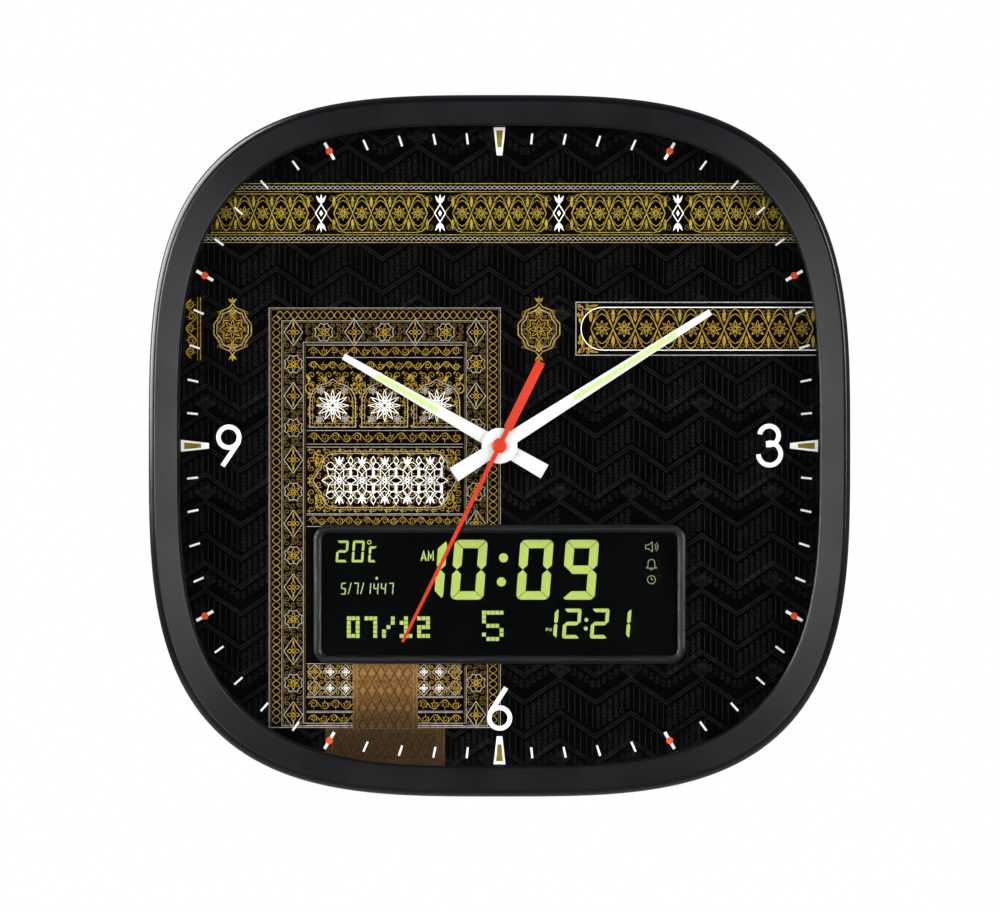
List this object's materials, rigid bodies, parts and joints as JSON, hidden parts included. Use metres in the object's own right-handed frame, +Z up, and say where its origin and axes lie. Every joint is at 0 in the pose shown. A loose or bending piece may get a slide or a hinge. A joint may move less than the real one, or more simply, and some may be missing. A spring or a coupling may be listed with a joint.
{
  "type": "azan wall clock",
  "caption": "Squircle wall clock with three hands over a printed dial, a liquid crystal display for time and date below them, and a loudspeaker that calls the prayer times.",
  "frame": {"origin": "on the wall plane, on the axis of the hands", "axes": "+Y towards the wall, so the dial faces -Y; +Z up; +X to the viewer's right"},
  "size_m": [0.33, 0.046, 0.33],
  "materials": {
    "bezel_plastic": "satin",
    "cover_plastic": "matte",
    "clear_glass": "gloss",
    "black_plastic": "matte",
    "printed_sheet": "satin",
    "lens_plastic": "gloss",
    "display_glass": "gloss",
    "clear_plastic": "gloss",
    "connector_rubber": "matte",
    "board_green": "satin",
    "chip_plastic": "matte",
    "steel": "satin",
    "ferrite": "matte",
    "cone_paper": "matte",
    "brass": "satin",
    "copper_coil": "satin",
    "cell_body": "satin",
    "movement_plastic": "matte",
    "gear_plastic": "satin",
    "key_plastic": "satin",
    "white_lacquer": "satin",
    "red_lacquer": "satin"
  },
  "bodies": {
    "case": {"front_bezel": "bezel_plastic", "front_glass": "clear_glass", "spacer_ring": "black_plastic", "dial_sheet": "printed_sheet", "dial_plate": "black_plastic", "back_cover": "cover_plastic", "case_screw_1": "steel", "case_screw_2": "steel", "case_screw_3": "steel", "case_screw_4": "steel", "lcd_bezel": "bezel_plastic", "lcd_lens": "lens_plastic", "lcd_panel": "display_glass", "lcd_backlight": "clear_plastic", "lcd_carrier": "black_plastic", "zebra_strip": "connector_rubber", "main_board": "board_green", "controller_chip": "chip_plastic", "clock_crystal": "steel", "speaker_frame": "steel", "speaker_cone": "cone_paper", "speaker_magnet": "ferrite", "speaker_clamp_ring": "black_plastic", "display_cell_1": "cell_body", "display_cell_2": "cell_body", "display_cell_3": "cell_body", "end_contact_minus": "steel", "link_contact_upper": "steel", "link_contact_lower": "steel", "end_contact_plus": "steel", "dc_jack": "black_plastic", "volume_switch": "steel", "key_board": "board_green", "movement_front_case": "movement_plastic", "movement_rear_case": "movement_plastic", "train_bridge": "movement_plastic", "movement_cell": "cell_body", "movement_spring_contact": "steel", "movement_plate_contact": "steel", "movement_board": "board_green", "stator": "steel", "coil": "copper_coil", "movement_washer": "brass", "movement_nut": "brass"},
    "second_train": {"second_wheel": "gear_plastic", "second_hand": "red_lacquer"},
    "minute_train": {"minute_wheel": "gear_plastic", "minute_hand": "white_lacquer"},
    "hour_train": {"hour_wheel": "gear_plastic", "hour_hand": "white_lacquer"},
    "third_train": {"third_wheel": "gear_plastic"},
    "motion_train": {"motion_wheel": "gear_plastic"},
    "intermediate_train": {"intermediate_wheel": "gear_plastic"},
    "rotor_train": {"rotor": "ferrite"},
    "door": {"battery_door": "cover_plastic"},
    "mode_key": {"button_mode": "key_plastic"},
    "up_key": {"button_up": "key_plastic"},
    "down_key": {"button_down": "key_plastic"},
    "stop_key": {"button_stop": "key_plastic"},
    "volume_slider": {"volume_knob": "key_plastic"}
  },
  "joints": [
    {"name": "second_spin", "type": "hinge", "parent": "case", "child": "second_train", "pos_m": [0, 0, 0], "axis": [0, 1, 0], "continuous": true},
    {"name": "minute_spin", "type": "hinge", "parent": "case", "child": "minute_train", "pos_m": [0, 0, 0], "axis": [0, 1, 0], "continuous": true},
    {"name": "hour_spin", "type": "hinge", "parent": "case", "child": "hour_train", "pos_m": [0, 0, 0], "axis": [0, 1, 0], "continuous": true},
    {"name": "third_spin", "type": "hinge", "parent": "case", "child": "third_train", "pos_m": [0.00918, 0, 0], "axis": [0, 1, 0], "continuous": true},
    {"name": "motion_spin", "type": "hinge", "parent": "case", "child": "motion_train", "pos_m": [0, 0, 0.011], "axis": [0, 1, 0], "continuous": true},
    {"name": "intermediate_spin", "type": "hinge", "parent": "case", "child": "intermediate_train", "pos_m": [-0.00756, 0, 0], "axis": [0, 1, 0], "continuous": true},
    {"name": "rotor_spin", "type": "hinge", "parent": "case", "child": "rotor_train", "pos_m": [-0.01053, 0, 0.00514], "axis": [0, 1, 0], "continuous": true},
    {"name": "battery_door_lift", "type": "slide", "parent": "case", "child": "door", "axis": [0, 1, 0], "range_m": [0, 0.03]},
    {"name": "mode_press", "type": "slide", "parent": "case", "child": "mode_key", "axis": [0, -1, 0], "range_m": [0, 0.0012], "stiffness_N_per_m": 400, "springref_m": -0.001},
    {"name": "up_press", "type": "slide", "parent": "case", "child": "up_key", "axis": [0, -1, 0], "range_m": [0, 0.0012], "stiffness_N_per_m": 400, "springref_m": -0.001},
    {"name": "down_press", "type": "slide", "parent": "case", "child": "down_key", "axis": [0, -1, 0], "range_m": [0, 0.0012], "stiffness_N_per_m": 400, "springref_m": -0.001},
    {"name": "stop_press", "type": "slide", "parent": "case", "child": "stop_key", "axis": [0, -1, 0], "range_m": [0, 0.0012], "stiffness_N_per_m": 400, "springref_m": -0.001},
    {"name": "volume_slide", "type": "slide", "parent": "case", "child": "volume_slider", "axis": [1, 0, 0], "range_m": [-0.003, 0.003]}
  ],
  "couplings": [
    {"joint": "minute_spin", "follows": "second_spin", "ratio": 0.016667},
    {"joint": "hour_spin", "follows": "second_spin", "ratio": 0.0013889},
    {"joint": "third_spin", "follows": "second_spin", "ratio": -0.13333},
    {"joint": "motion_spin", "follows": "second_spin", "ratio": -0.0055556},
    {"joint": "intermediate_spin", "follows": "second_spin", "ratio": -6},
    {"joint": "rotor_spin", "follows": "second_spin", "ratio": 30}
  ]
}
